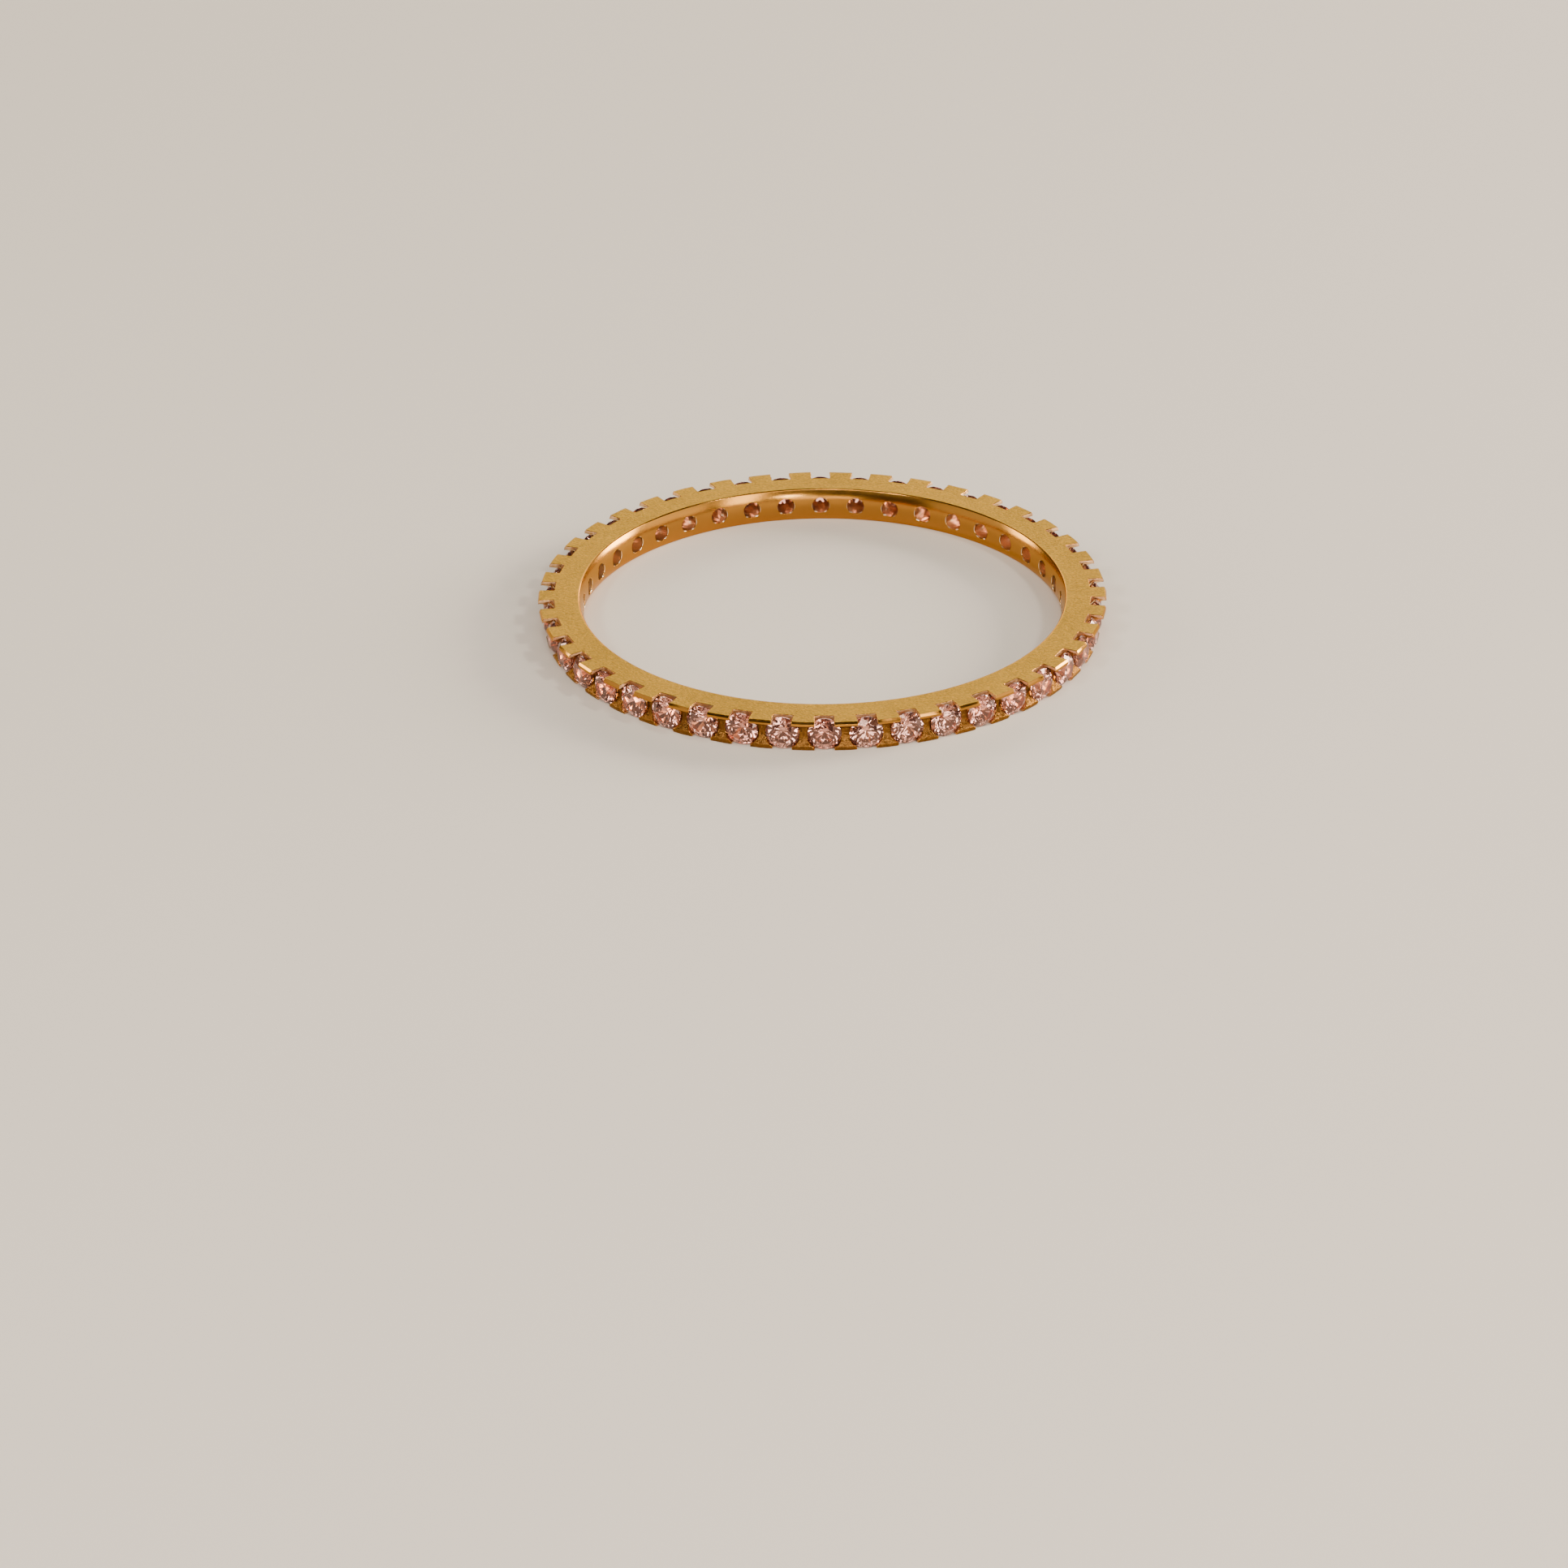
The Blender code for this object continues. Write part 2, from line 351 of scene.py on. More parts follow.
def loft(rings, finishes):
    """A closed body through rings of equally many points, with the finish of each of its long faces."""
    shape = bmesh.new()
    loops = [[shape.verts.new(point) for point in ring] for ring in rings]
    count = len(loops[0])
    for first, second in zip(loops, loops[1:]):
        for index in range(count):
            following = (index + 1) % count
            face = shape.faces.new((first[index], first[following], second[following], second[index]))
            face.material_index = finishes[index % len(finishes)]
    for end in (loops[0][::-1], loops[-1]):
        shape.faces.new(end).material_index = finishes[0]
    bmesh.ops.recalc_face_normals(shape, faces=shape.faces)
    return shape


def on_ring(radius, angle, height):
    return Vector((radius * math.cos(angle), radius * math.sin(angle), height))


def sector_mesh(sizes, segments=6):
    """One stone's share of the uncut band, symmetric about the +X axis."""
    points, finishes = band_outline(sizes)
    sector = math.tau / sizes.stone_count
    rings = []
    for step in range(segments + 1):
        angle = sector * (step / segments - 0.5)
        rings.append([on_ring(point.x, angle, point.y) for point in points])
    return mesh_from("sector", loft(rings, finishes))


def seat_cutter(sizes, sides=40):
    """Pilot hole with a small countersink at the bore, cone under the stone, and the opening."""
    pilot = sizes.pilot_share * sizes.stone_diameter / 2
    opening = sizes.stone_diameter / 2 + sizes.seat_clearance
    girdle = sizes.bore_radius + sizes.wall - sizes.girdle_share * sizes.stone_diameter
    seat_edge = girdle - sizes.girdle_thickness / 2 - sizes.seat_clearance / 2
    cone_foot = seat_edge - (opening - pilot) * math.tan(PAVILION_ANGLE)
    cut_end = sizes.bore_radius + sizes.wall + OVERRUN
    lean = SEAT_LEAN * (cut_end - seat_edge)
    flare = pilot + COUNTERSINK + BORE_OVERRUN
    sections = (
        (sizes.bore_radius - BORE_OVERRUN, flare, flare),
        (sizes.bore_radius + COUNTERSINK, pilot, pilot),
        (cone_foot, pilot, pilot),
        (seat_edge, opening, opening),
        (cut_end, opening, opening - lean),
    )
    rings = []
    for radius, across, along in sections:
        ring = []
        for side in range(sides):
            turn = math.tau * side / sides
            ring.append(Vector((radius, across * math.cos(turn), sizes.width / 2 + along * math.sin(turn))))
        rings.append(ring)
    return mesh_from("seat_cutter", loft(rings, [SEATED]))


def notch_cutter(sizes, upper):
    """Notch in the rim over a stone, with small round inner corners."""
    outer = sizes.bore_radius + sizes.wall
    near = outer - sizes.notch_depth_share * sizes.girdle_share * sizes.stone_diameter
    far = outer + OVERRUN
    half = sizes.notch_width_share * sizes.stone_diameter / 2
    drop = sizes.notch_drop_share * sizes.stone_diameter
    corners = [(far, -half, 0), (near, -half, NOTCH_CORNER), (near, half, NOTCH_CORNER), (far, half, 0)]
    path = softened(corners)
    outline = []
    for point, following in zip(path, path[1:]):
        pieces = max(1, round((following - point).length / BURR_PITCH))
        outline += [point.lerp(following, step / pieces) for step in range(pieces)]
    outline.append(path[-1])
    heights = (sizes.width - drop, sizes.width + OVERRUN) if upper else (-OVERRUN, drop)
    rings = [[Vector((point.x, point.y, height)) for point in outline] for height in heights]
    return mesh_from("notch_cutter", loft(rings, [NOTCHED]))


def cut(body_mesh, cutter_meshes):
    """The body less each cutter, as a new mesh. The working objects are removed again."""
    body = new_object("body", body_mesh)
    cutters = [new_object("cutter", mesh) for mesh in cutter_meshes]
    for cutter in cutters:
        modifier = body.modifiers.new("cut", "BOOLEAN")
        modifier.operation = "DIFFERENCE"
        modifier.solver = "EXACT"
        modifier.material_mode = "INDEX"
        modifier.object = cutter
    bpy.context.view_layer.update()
    evaluated = body.evaluated_get(bpy.context.evaluated_depsgraph_get())
    result = bpy.data.meshes.new_from_object(evaluated)
    for item in [body] + cutters:
        bpy.data.objects.remove(item, do_unlink=True)
    return result


def open_sector(mesh, sector):
    """Takes away the two flat ends of a sector, where it joins its neighbours."""
    shape = bmesh.new()
    shape.from_mesh(mesh)
    ends = []
    for side in (-1, 1):
        angle = side * sector / 2
        outward = Vector((-math.sin(angle), math.cos(angle), 0.0)) * side
        for face in shape.faces:
            if all(abs(vertex.co.dot(outward)) < WELD for vertex in face.verts):
                ends.append(face)
    bmesh.ops.delete(shape, geom=ends, context="FACES")
    shape.to_mesh(mesh)
    shape.free()


def work_by_hand(mesh, sizes):
    """Moves the outer metal a little, sideways only: no two pads are alike, and the notches have burrs."""
    noise.seed_set(HAND_WORK_SEED)
    burred = set()
    for polygon in mesh.polygons:
        if polygon.material_index == NOTCHED:
            burred.update(polygon.vertices)
    for index in burred:
        vertex = mesh.vertices[index]
        shift = noise.noise_vector(vertex.co / BURR_PITCH) * BURR_DEPTH
        vertex.co.x += shift.x
        vertex.co.y += shift.y
    start = sizes.bore_radius + HAND_WORK_START * sizes.wall
    full = sizes.bore_radius + HAND_WORK_FULL * sizes.wall
    most = sizes.bore_radius + sizes.wall
    for vertex in mesh.vertices:
        radius = math.hypot(vertex.co.x, vertex.co.y)
        share = min(max((radius - start) / (full - start), 0.0), 1.0)
        if share == 0.0:
            continue
        shift = noise.noise_vector(vertex.co / HAND_WORK_PITCH) * HAND_WORK_DEPTH * share
        vertex.co.x += shift.x
        vertex.co.y += shift.y
        grown = math.hypot(vertex.co.x, vertex.co.y)
        if grown > most:
            vertex.co.x *= most / grown
            vertex.co.y *= most / grown


def set_clean_normals(mesh):
    """Smooth shading in which a large flat face stays flat up to its softened edge."""
    mesh.shade_smooth()
    normals = [polygon.normal.copy() for polygon in mesh.polygons]
    weights = [polygon.area ** 2 for polygon in mesh.polygons]
    around = [[] for _vertex in mesh.vertices]
    for polygon in mesh.polygons:
        for vertex in polygon.vertices:
            around[vertex].append(polygon.index)
    limit = math.cos(SMOOTH_ANGLE)
    corners = [None] * len(mesh.loops)
    for polygon in mesh.polygons:
        own = normals[polygon.index]
        for corner, vertex in zip(polygon.loop_indices, polygon.vertices):
            total = Vector((0.0, 0.0, 0.0))
            for other in around[vertex]:
                if normals[other].dot(own) > limit:
                    total += normals[other] * weights[other]
            corners[corner] = total.normalized() if total.length > 0.0 else own
    mesh.normals_split_custom_set(corners)


def add_socket(tree, name, kind, default=None, out=False):
    socket = tree.interface.new_socket(name, in_out="OUTPUT" if out else "INPUT", socket_type=kind)
    if default is not None:
        socket.default_value = default


def math_node(tree, operation, first, second=None):
    node = tree.nodes.new("ShaderNodeMath")
    node.operation = operation
    for index, value in enumerate((first, second)):
        if value is None:
            continue
        if isinstance(value, bpy.types.NodeSocket):
            tree.links.new(value, node.inputs[index])
        else:
            node.inputs[index].default_value = value
    return node.outputs[0]


def numbered_tree(name, more):
    """Geometry Nodes tree with a count of points, and each point's angle round the Z axis."""
    tree = bpy.data.node_groups.new(name, "GeometryNodeTree")
    add_socket(tree, "Geometry", "NodeSocketGeometry")
    add_socket(tree, "Count", "NodeSocketInt", 1)
    add_socket(tree, "First Angle", "NodeSocketFloat", 0.0)
    for label, kind in more:
        add_socket(tree, label, kind)
    add_socket(tree, "Geometry", "NodeSocketGeometry", out=True)
    given = tree.nodes.new("NodeGroupInput")
    points = tree.nodes.new("GeometryNodeMeshLine")
    points.inputs["Offset"].default_value = (0.0, 0.0, 0.0)
    tree.links.new(given.outputs["Count"], points.inputs["Count"])
    index = tree.nodes.new("GeometryNodeInputIndex")
    step = math_node(tree, "DIVIDE", math.tau, given.outputs["Count"])
    turn = math_node(tree, "MULTIPLY", index.outputs[0], step)
    angle = math_node(tree, "ADD", turn, given.outputs["First Angle"])
    return tree, given, points.outputs[0], angle


def real_copies(tree, given, points, euler):
    """A copy of the given geometry on each point, turned by its angles, as real geometry."""
    copies = tree.nodes.new("GeometryNodeInstanceOnPoints")
    tree.links.new(points, copies.inputs["Points"])
    tree.links.new(given.outputs["Geometry"], copies.inputs["Instance"])
    tree.links.new(euler.outputs[0], copies.inputs["Rotation"])
    real = tree.nodes.new("GeometryNodeRealizeInstances")
    tree.links.new(copies.outputs[0], real.inputs[0])
    return real.outputs[0]


def repeat_tree():
    """Geometry Nodes: turns copies of a sector round the Z axis and welds them into one band."""
    more = [("Weld Distance", "NodeSocketFloat")]
    more += [(row[0], "NodeSocketMaterial") for row in METALS]
    tree, given, points, angle = numbered_tree("repeat round axis", more)
    nodes, links = tree.nodes, tree.links
    euler = nodes.new("ShaderNodeCombineXYZ")
    links.new(angle, euler.inputs["Z"])
    weld = nodes.new("GeometryNodeMergeByDistance")
    links.new(real_copies(tree, given, points, euler), weld.inputs["Geometry"])
    links.new(given.outputs["Weld Distance"], weld.inputs["Distance"])
    last = weld.outputs[0]
    slot = nodes.new("GeometryNodeInputMaterialIndex")
    for finish, row in enumerate(METALS):
        same = nodes.new("FunctionNodeCompare")
        same.data_type = "INT"
        same.operation = "EQUAL"
        links.new(slot.outputs[0], same.inputs[2])
        same.inputs[3].default_value = finish
        paint = nodes.new("GeometryNodeSetMaterial")
        links.new(last, paint.inputs["Geometry"])
        links.new(same.outputs[0], paint.inputs["Selection"])
        links.new(given.outputs[row[0]], paint.inputs["Material"])
        last = paint.outputs[0]
    result = nodes.new("NodeGroupOutput")
    links.new(last, result.inputs[0])
    return tree


def stone_tree():
    """Geometry Nodes: sets a stone in each seat, each turned and tipped a little in its own way."""
    more = (
        ("Girdle Radius", "NodeSocketFloat"),
        ("Height", "NodeSocketFloat"),
        ("Tip", "NodeSocketFloat"),
        ("Seed", "NodeSocketInt"),
        ("Stone", "NodeSocketMaterial"),
    )
    tree, given, points, angle = numbered_tree("set stones", more)
    nodes, links = tree.nodes, tree.links
    place = nodes.new("ShaderNodeCombineXYZ")
    radius = given.outputs["Girdle Radius"]
    links.new(math_node(tree, "MULTIPLY", math_node(tree, "COSINE", angle), radius), place.inputs["X"])
    links.new(math_node(tree, "MULTIPLY", math_node(tree, "SINE", angle), radius), place.inputs["Y"])
    links.new(given.outputs["Height"], place.inputs["Z"])
    put = nodes.new("GeometryNodeSetPosition")
    links.new(points, put.inputs["Geometry"])
    links.new(place.outputs[0], put.inputs["Position"])

    def drawn(low, high, offset):
        """A random number for each stone."""
        draw = nodes.new("FunctionNodeRandomValue")
        draw.data_type = "FLOAT"
        draw.inputs[2].default_value = low
        draw.inputs[3].default_value = high
        links.new(math_node(tree, "ADD", given.outputs["Seed"], offset), draw.inputs["Seed"])
        return draw.outputs[1]

    euler = nodes.new("ShaderNodeCombineXYZ")
    tip = given.outputs["Tip"]
    links.new(drawn(0.0, math.tau / 8, 0), euler.inputs["X"])
    links.new(math_node(tree, "MULTIPLY", drawn(-1.0, 1.0, 1), tip), euler.inputs["Y"])
    sideways = math_node(tree, "MULTIPLY", drawn(-1.0, 1.0, 2), tip)
    links.new(math_node(tree, "ADD", angle, sideways), euler.inputs["Z"])
    paint = nodes.new("GeometryNodeSetMaterial")
    links.new(real_copies(tree, given, put.outputs[0], euler), paint.inputs["Geometry"])
    links.new(given.outputs["Stone"], paint.inputs["Material"])
    result = nodes.new("NodeGroupOutput")
    links.new(paint.outputs[0], result.inputs[0])
    return tree


def set_inputs(modifier, values):
    """Sets a Geometry Nodes modifier's inputs, which it knows by identifier."""
    for item in modifier.node_group.interface.items_tree:
        if item.item_type == "SOCKET" and item.in_out == "INPUT" and item.name in values:
            modifier[item.identifier] = values[item.name]


def baked(item, name):
    """Turns an object with its modifiers into a plain mesh object at the origin."""
    bpy.context.view_layer.update()
    evaluated = item.evaluated_get(bpy.context.evaluated_depsgraph_get())
    mesh = bpy.data.meshes.new_from_object(evaluated)
    mesh.name = name
    bpy.data.objects.remove(item, do_unlink=True)
    return new_object(name, mesh)


def grain_group():
    """Shader group: fine grain and a slow, faint change of shade across the metal."""
    tree = bpy.data.node_groups.new("metal grain", "ShaderNodeTree")
    add_socket(tree, "Grain Size", "NodeSocketFloat", 0.06)
    add_socket(tree, "Base", "NodeSocketColor")
    add_socket(tree, "Shade", "NodeSocketFloat", 0.1)
    add_socket(tree, "Roughness", "NodeSocketFloat", 0.3)
    add_socket(tree, "Roughness Spread", "NodeSocketFloat", 0.05)
    add_socket(tree, "Color", "NodeSocketColor", out=True)
    add_socket(tree, "Roughness", "NodeSocketFloat", out=True)
    add_socket(tree, "Height", "NodeSocketFloat", out=True)
    nodes, links = tree.nodes, tree.links
    given = nodes.new("NodeGroupInput")
    place = nodes.new("ShaderNodeTexCoord")
    fine = nodes.new("ShaderNodeTexNoise")
    fine.inputs["Detail"].default_value = 3.0
    fine.inputs["Roughness"].default_value = 0.6
    links.new(place.outputs["Object"], fine.inputs["Vector"])
    per_metre = math_node(tree, "DIVIDE", 1000.0, given.outputs["Grain Size"])
    links.new(per_metre, fine.inputs["Scale"])
    slow = nodes.new("ShaderNodeTexNoise")
    slow.inputs["Scale"].default_value = 420.0
    slow.inputs["Detail"].default_value = 4.0
    links.new(place.outputs["Object"], slow.inputs["Vector"])
    centred_fine = math_node(tree, "SUBTRACT", fine.outputs["Fac"], 0.5)
    centred_slow = math_node(tree, "SUBTRACT", slow.outputs["Fac"], 0.5)
    faint_slow = math_node(tree, "MULTIPLY", centred_slow, SLOW_SHARE)
    both = math_node(tree, "ADD", centred_fine, faint_slow)
    spread = math_node(tree, "MULTIPLY", both, given.outputs["Roughness Spread"])
    rough = math_node(tree, "ADD", spread, given.outputs["Roughness"])
    shade = math_node(tree, "ADD", math_node(tree, "MULTIPLY", both, given.outputs["Shade"]), 1.0)
    tint = nodes.new("ShaderNodeVectorMath")
    tint.operation = "SCALE"
    links.new(given.outputs["Base"], tint.inputs[0])
    links.new(shade, tint.inputs["Scale"])
    result = nodes.new("NodeGroupOutput")
    links.new(tint.outputs[0], result.inputs["Color"])
    links.new(rough, result.inputs["Roughness"])
    links.new(fine.outputs["Fac"], result.inputs["Height"])
    return tree


def metal(name, grain, color, grain_size, grain_depth, shade, roughness, spread):
    """Metal with the grain group's surface. Sizes are in millimetres."""
    material = bpy.data.materials.new(name)
    material.use_nodes = True
    tree = material.node_tree
    shader = tree.nodes["Principled BSDF"]
    shader.inputs["Metallic"].default_value = 1.0
    shader.inputs["Specular Tint"].default_value = (1.0, 0.82, 0.55, 1.0)
    surface = tree.nodes.new("ShaderNodeGroup")
    surface.node_tree = grain
    surface.inputs["Grain Size"].default_value = grain_size
    surface.inputs["Base"].default_value = color
    surface.inputs["Shade"].default_value = shade
    surface.inputs["Roughness"].default_value = roughness
    surface.inputs["Roughness Spread"].default_value = spread
    bump = tree.nodes.new("ShaderNodeBump")
    bump.inputs["Distance"].default_value = grain_depth * MM
    tree.links.new(surface.outputs["Color"], shader.inputs["Base Color"])
    tree.links.new(surface.outputs["Roughness"], shader.inputs["Roughness"])
    tree.links.new(surface.outputs["Height"], bump.inputs["Height"])
    tree.links.new(bump.outputs[0], shader.inputs["Normal"])
    return material


def gem(name, color, pale):
    """Clear stone whose tint drifts a little from one stone to the next."""
    material = bpy.data.materials.new(name)
    material.use_nodes = True
    tree = material.node_tree
    shader = tree.nodes["Principled BSDF"]
    shader.inputs["Metallic"].default_value = 0.0
    shader.inputs["Transmission Weight"].default_value = 0.96
    shader.inputs["Roughness"].default_value = 0.0
    shader.inputs["IOR"].default_value = 2.10
    shader.inputs["Specular Tint"].default_value = (0.72, 0.46, 0.37, 1.0)
    place = tree.nodes.new("ShaderNodeTexCoord")
    drift = tree.nodes.new("ShaderNodeTexNoise")
    drift.inputs["Scale"].default_value = 600.0
    drift.inputs["Detail"].default_value = 1.0
    tree.links.new(place.outputs["Object"], drift.inputs["Vector"])
    ramp = tree.nodes.new("ShaderNodeValToRGB")
    ramp.color_ramp.elements[0].position = 0.35
    ramp.color_ramp.elements[0].color = color
    ramp.color_ramp.elements[1].position = 0.65
    ramp.color_ramp.elements[1].color = pale
    tree.links.new(drift.outputs["Fac"], ramp.inputs["Fac"])
    tree.links.new(ramp.outputs["Color"], shader.inputs["Base Color"])
    return material


def stone_shape(sizes, girdle_sides=48):
    """Round brilliant about the X axis, cut facet by facet from a round blank."""
    radius = sizes.stone_diameter / 2
    half = sizes.girdle_thickness / 2
    crown = math.tan(CROWN_ANGLE)
    pavilion = math.tan(PAVILION_ANGLE)
    half_fold = math.pi / 8
    table_radius = radius * TABLE_SHARE
    table_edge = table_radius * math.cos(half_fold)
    star_radius = table_edge + STAR_SHARE * (radius - table_edge)
    lower_radius = radius * LOWER_SHARE
    table_height = half + (radius - table_radius) * crown
    star_height = half + (radius - star_radius * math.cos(half_fold)) * crown
    lower_height = -half - (radius - lower_radius * math.cos(half_fold)) * pavilion

    def point(out, distance, turn):
        return Vector((out, distance * math.cos(turn), distance * math.sin(turn)))

    rings = []
    for out in (-half - radius, table_height):
        rings.append([point(out, radius, math.tau * side / girdle_sides) for side in range(girdle_sides)])
    shape = loft(rings, [0])
    planes = []
    for fold in range(8):
        main = fold * math.pi / 4
        after = main + math.pi / 4
        star = point(star_height, star_radius, main + half_fold)
        lower = point(lower_height, lower_radius, main + half_fold)
        table = point(table_height, table_radius, main)
        next_table = point(table_height, table_radius, after)
        top = point(half, radius, main)
        bottom = point(-half, radius, main)
        culet = point(-half - radius * pavilion, 0.0, 0.0)
        previous_star = point(star_height, star_radius, main - half_fold)
        previous_lower = point(lower_height, lower_radius, main - half_fold)
        planes.append((table, star, previous_star))
        planes.append((table, next_table, star))
        planes.append((culet, previous_lower, lower))
        for turn, corner_top, corner_bottom in (
            (main + half_fold, top, bottom),
            (main + half_fold, point(half, radius, after), point(-half, radius, after)),
        ):
            planes.append((star, corner_top, point(half, radius, turn)))
            planes.append((lower, corner_bottom, point(-half, radius, turn)))
    for first, second, third in planes:
        normal = (second - first).cross(third - first).normalized()
        if normal.dot(first) < 0:
            normal.negate()
        cut_through = bmesh.ops.bisect_plane(
            shape, geom=shape.verts[:] + shape.edges[:] + shape.faces[:], dist=1e-9,
            plane_co=first, plane_no=normal, clear_outer=True
        )
        rim = [item for item in cut_through["geom_cut"] if isinstance(item, bmesh.types.BMEdge)]
        if rim:
            bmesh.ops.contextual_create(shape, geom=rim)
    bmesh.ops.remove_doubles(shape, verts=shape.verts, dist=WELD)
    bmesh.ops.recalc_face_normals(shape, faces=shape.faces)
    return shape


class RING_OT_make_band(bpy.types.Operator):
    """Builds the notched band with a seat for each stone"""

    bl_idname = "ring.make_band"
    bl_label = "Make band"

    def execute(self, context):
        sizes = context.scene.ring_sizes
        finish = context.scene.ring_finish
        grain = grain_group()
        metals = {}
        for name, color, *values in METALS:
            metals[name] = metal("gold_" + name.lower(), grain, getattr(finish, color), *values)
        notches = [notch_cutter(sizes, upper) for upper in (True, False)]
        solids = [sector_mesh(sizes), seat_cutter(sizes)] + notches
        for solid in solids:
            for material in metals.values():
                solid.materials.append(material)
        mesh = cut(solids[0], solids[1:])
        open_sector(mesh, math.tau / sizes.stone_count)
        whole = new_object("sector", mesh)
        repeat = whole.modifiers.new("repeat", "NODES")
        repeat.node_group = repeat_tree()
        given = {"Count": sizes.stone_count, "First Angle": FRONT, "Weld Distance": WELD}
        set_inputs(repeat, given | metals)
        bevel = whole.modifiers.new("bevel", "BEVEL")
        bevel.limit_method = "ANGLE"
        bevel.angle_limit = BEVEL_ANGLE
        bevel.width = sizes.edge_bevel
        bevel.segments = 2
        bevel.use_clamp_overlap = False
        # Softened edges take the polished finish, whose deep colour holds painted shade
        bevel.material = POLISHED_WITH_PAINTED_SHADE
        band = baked(whole, "gold_band")
        work_by_hand(band.data, sizes)
        set_clean_normals(band.data)
        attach(band, "root")
        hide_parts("band")
        return {"FINISHED"}


class RING_OT_set_stones(bpy.types.Operator):
    """Cuts one round brilliant and sets a copy of it in each seat"""

    bl_idname = "ring.set_stones"
    bl_label = "Set stones"

    def execute(self, context):
        sizes = context.scene.ring_sizes
        finish = context.scene.ring_finish
        stone_material = gem("pink_stone", finish.stone, finish.stone_pale)
        row = new_object("stone", mesh_from("stone", stone_shape(sizes)))
        row.data.materials.append(stone_material)
        spread = row.modifiers.new("set", "NODES")
        spread.node_group = stone_tree()
        outer = sizes.bore_radius + sizes.wall
        set_inputs(spread, {
            "Count": sizes.stone_count,
            "First Angle": FRONT,
            "Girdle Radius": outer - sizes.girdle_share * sizes.stone_diameter,
            "Height": sizes.width / 2,
            "Tip": STONE_TIP,
            "Seed": finish.stone_spin_seed,
            "Stone": stone_material,
        })
        stones = baked(row, "pink_stones")
        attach(stones, "root")
        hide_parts(*STONE_NODES)
        return {"FINISHED"}


def add_light(name, place, size, power, color):
    """Soft rectangular light that faces the middle of the ring."""
    data = bpy.data.lights.new(name, "AREA")
    data.shape = "RECTANGLE"
    data.size, data.size_y = size
    data.energy = power
    data.color = color
    lamp = bpy.data.objects.new(name, data)
    lamp.location = place
    lamp.rotation_mode = "QUATERNION"
    lamp.rotation_quaternion = (-place).to_track_quat("-Z", "Y")
    bpy.context.scene.collection.objects.link(lamp)


def add_camera():
    """Camera with the photograph's place and long lens, aimed by where it sees the upper face's middle."""
    elevation = math.radians(27.55)
    roll = math.radians(0.37)
    distance = 288.9 * MM
    focal_pixels = 10000.0
    centre_x, centre_y = 1014.8, 731.4
    forward = Vector((0.0, math.cos(elevation), -math.sin(elevation)))
    right = Vector((1.0, 0.0, 0.0))
    up = Vector((0.0, math.sin(elevation), math.cos(elevation)))
    middle = IMAGE_SIZE / 2
    sight = Vector(((centre_x - middle) / focal_pixels, (middle - centre_y) / focal_pixels, 1.0))
    sight = sight.normalized() * distance
    place = Vector((0.0, 0.0, BAND_WIDTH)) - (right * sight.x + up * sight.y + forward * sight.z)
    turned_right = right * math.cos(roll) - up * math.sin(roll)
    turned_up = right * math.sin(roll) + up * math.cos(roll)
    data = bpy.data.cameras.new("camera")
    data.sensor_width = 36.0
    data.lens = focal_pixels / IMAGE_SIZE * data.sensor_width
    data.clip_start = 0.001
    data.clip_end = 10.0
    camera = bpy.data.objects.new("camera", data)
    axes = Matrix((turned_right, turned_up, -forward)).transposed().to_4x4()
    camera.matrix_world = Matrix.Translation(place) @ axes
    bpy.context.scene.collection.objects.link(camera)
    bpy.context.scene.camera = camera


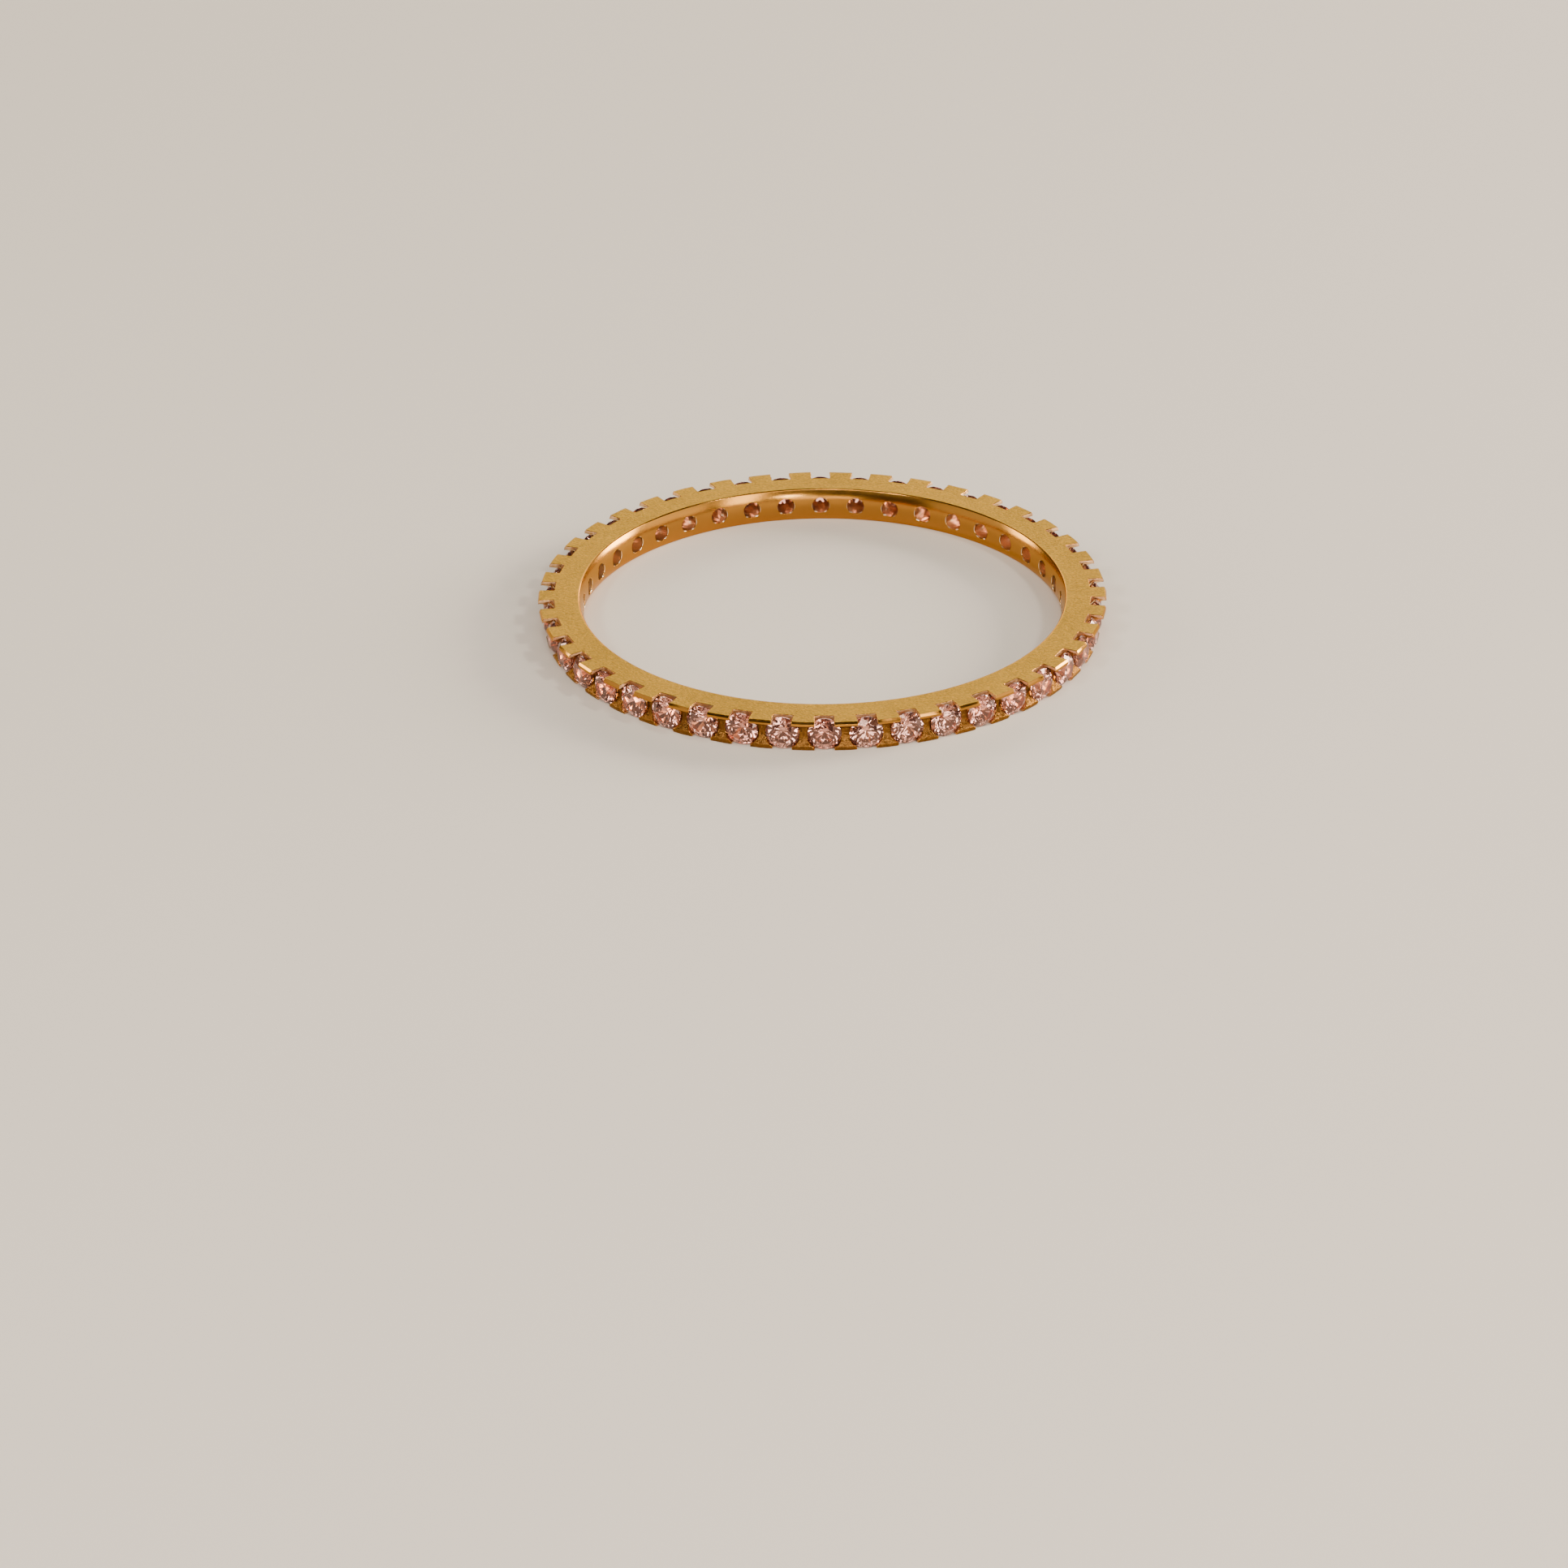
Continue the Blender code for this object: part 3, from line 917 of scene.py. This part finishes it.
class RING_OT_make_stage(bpy.types.Operator):
    """Puts the ring on a plain pale floor with soft lights and a camera"""

    bl_idname = "ring.make_stage"
    bl_label = "Make stage"

    def execute(self, context):
        look = context.scene.ring_stage
        shape = bmesh.new()
        bmesh.ops.create_circle(shape, cap_ends=True, radius=FLOOR_RADIUS, segments=64)
        floor = new_object("floor", mesh_from("floor", shape))
        paint = bpy.data.materials.new("floor")
        paint.use_nodes = True
        tree = paint.node_tree
        shader = tree.nodes["Principled BSDF"]
        shader.inputs["Roughness"].default_value = 0.7
        place = tree.nodes.new("ShaderNodeTexCoord")
        cloud = tree.nodes.new("ShaderNodeTexNoise")
        cloud.inputs["Scale"].default_value = 30.0
        tree.links.new(place.outputs["Object"], cloud.inputs["Vector"])
        drift = math_node(tree, "MULTIPLY", cloud.outputs["Fac"], FLOOR_DRIFT)
        tint = tree.nodes.new("ShaderNodeVectorMath")
        tint.operation = "SCALE"
        tint.inputs[0].default_value = look.floor[:3]
        tree.links.new(math_node(tree, "ADD", drift, 1.0 - FLOOR_DRIFT / 2), tint.inputs["Scale"])
        tree.links.new(tint.outputs[0], shader.inputs["Base Color"])
        floor.data.materials.append(paint)
        for name, azimuth, elevation, distance, size, watts, color in LIGHTS:
            turn = math.radians(azimuth)
            lift = math.radians(elevation)
            level = distance * math.cos(lift)
            place = (level * math.cos(turn), level * math.sin(turn), distance * math.sin(lift))
            add_light(name, Vector(place), size, watts * look.power, color)
        world = bpy.data.worlds.new("world")
        world.use_nodes = True
        background = world.node_tree.nodes["Background"]
        background.inputs["Color"].default_value = WORLD_COLOR
        background.inputs["Strength"].default_value = WORLD_STRENGTH
        context.scene.world = world
        add_camera()
        return {"FINISHED"}


class RING_PT_pieces(bpy.types.Panel):
    """Sizes, finishes and pieces of the ring"""

    bl_idname = "RING_PT_pieces"
    bl_label = "Stone-set ring"
    bl_space_type = "VIEW_3D"
    bl_region_type = "UI"
    bl_category = "Ring"

    def draw(self, context):
        for title, group in (
            ("Sizes", context.scene.ring_sizes),
            ("Finish", context.scene.ring_finish),
            ("Stage", context.scene.ring_stage),
        ):
            box = self.layout.box()
            box.label(text=title)
            for key in group.__annotations__:
                box.prop(group, key)
        for operator in PIECES:
            self.layout.operator(operator.bl_idname)


PIECES = (RING_OT_make_band, RING_OT_set_stones, RING_OT_make_stage)
CLASSES = (RingSizes, RingFinish, StageLook) + PIECES + (RING_PT_pieces,)


def register():
    for item in CLASSES:
        bpy.utils.register_class(item)
    bpy.types.Scene.ring_sizes = bpy.props.PointerProperty(type=RingSizes)
    bpy.types.Scene.ring_finish = bpy.props.PointerProperty(type=RingFinish)
    bpy.types.Scene.ring_stage = bpy.props.PointerProperty(type=StageLook)


def unregister():
    del bpy.types.Scene.ring_stage
    del bpy.types.Scene.ring_finish
    del bpy.types.Scene.ring_sizes
    for item in reversed(CLASSES):
        bpy.utils.unregister_class(item)


def main():
    register()
    bpy.ops.ring.make_band()
    bpy.ops.ring.set_stones()
    bpy.ops.ring.make_stage()
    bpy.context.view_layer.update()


if __name__ == "__main__":
    main()
